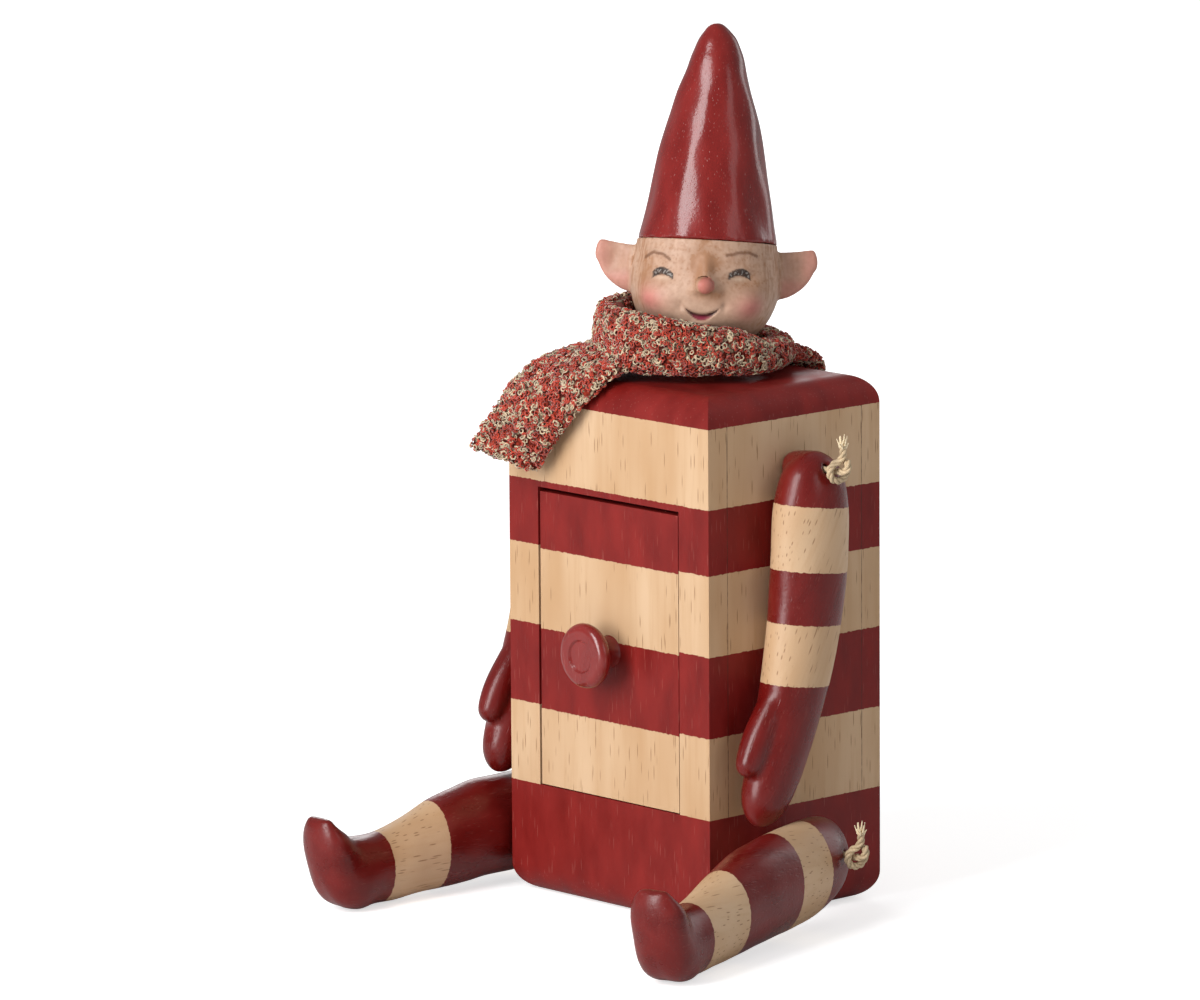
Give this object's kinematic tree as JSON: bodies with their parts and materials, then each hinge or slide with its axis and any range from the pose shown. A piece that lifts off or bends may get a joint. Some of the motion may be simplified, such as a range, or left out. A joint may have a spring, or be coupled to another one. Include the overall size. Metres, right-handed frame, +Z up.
{
  "type": "seated wooden figure with drawer",
  "caption": "Seated jointed wooden elf whose striped box body holds a drawer, with cord-hung arms and legs, a turning head under a pointed hat, and a knitted scarf.",
  "frame": {"origin": "centre of the box's flat underside", "axes": "the figure faces -Y, +X is to the right seen from the front, +Z is up"},
  "size_m": [0.1593, 0.1425, 0.2589],
  "materials": {
    "red_wood": "satin red paint",
    "striped_wood": "bare beech with bands of satin red paint",
    "plain_wood": "bare beech",
    "carved_face": "matt painted skin with a worn brown glaze",
    "knit": "looped yarn in rust red and cream",
    "twine": "twisted natural twine",
    "screw_steel": "plain steel"
  },
  "bodies": {
    "box": {"base_block": "red_wood", "top_board": "red_wood", "front_frame": "striped_wood", "back_board": "striped_wood", "left_side_board": "striped_wood", "right_side_board": "striped_wood", "shoulder_cord": "twine", "hip_cord": "twine", "scarf": "knit"},
    "drawer": {"drawer_front": "striped_wood", "drawer_left_side": "plain_wood", "drawer_right_side": "plain_wood", "drawer_back": "plain_wood", "drawer_bottom": "plain_wood", "drawer_knob": "red_wood", "knob_screw": "screw_steel"},
    "head": {"head": "carved_face", "hat": "red_wood", "neck_dowel": "plain_wood", "neck_washer": "screw_steel", "neck_screw": "screw_steel"},
    "left_arm": {"left_arm": "striped_wood"},
    "right_arm": {"right_arm": "striped_wood"},
    "left_leg": {"left_leg": "striped_wood"},
    "right_leg": {"right_leg": "striped_wood"}
  },
  "joints": [
    {"name": "drawer_slide", "type": "slide", "parent": "box", "child": "drawer", "axis": [0, -1, 0], "range_m": [0, 0.05]},
    {"name": "head_turn", "type": "hinge", "parent": "box", "child": "head", "pos_m": [0.002, 0.002, 0.1566], "axis": [0, 0, 1], "continuous": true},
    {"name": "left_shoulder", "type": "hinge", "parent": "box", "child": "left_arm", "pos_m": [-0.0525, -0.003, 0.135], "axis": [-1, 0, 0], "range_deg": [0, 170]},
    {"name": "right_shoulder", "type": "hinge", "parent": "box", "child": "right_arm", "pos_m": [0.0525, -0.003, 0.135], "axis": [-1, 0, 0], "range_deg": [0, 170]},
    {"name": "left_hip", "type": "hinge", "parent": "box", "child": "left_leg", "pos_m": [-0.0538, 0, 0.0215], "axis": [1, 0, 0], "range_deg": [0, 80]},
    {"name": "right_hip", "type": "hinge", "parent": "box", "child": "right_leg", "pos_m": [0.0538, 0, 0.0215], "axis": [1, 0, 0], "range_deg": [0, 80]}
  ]
}
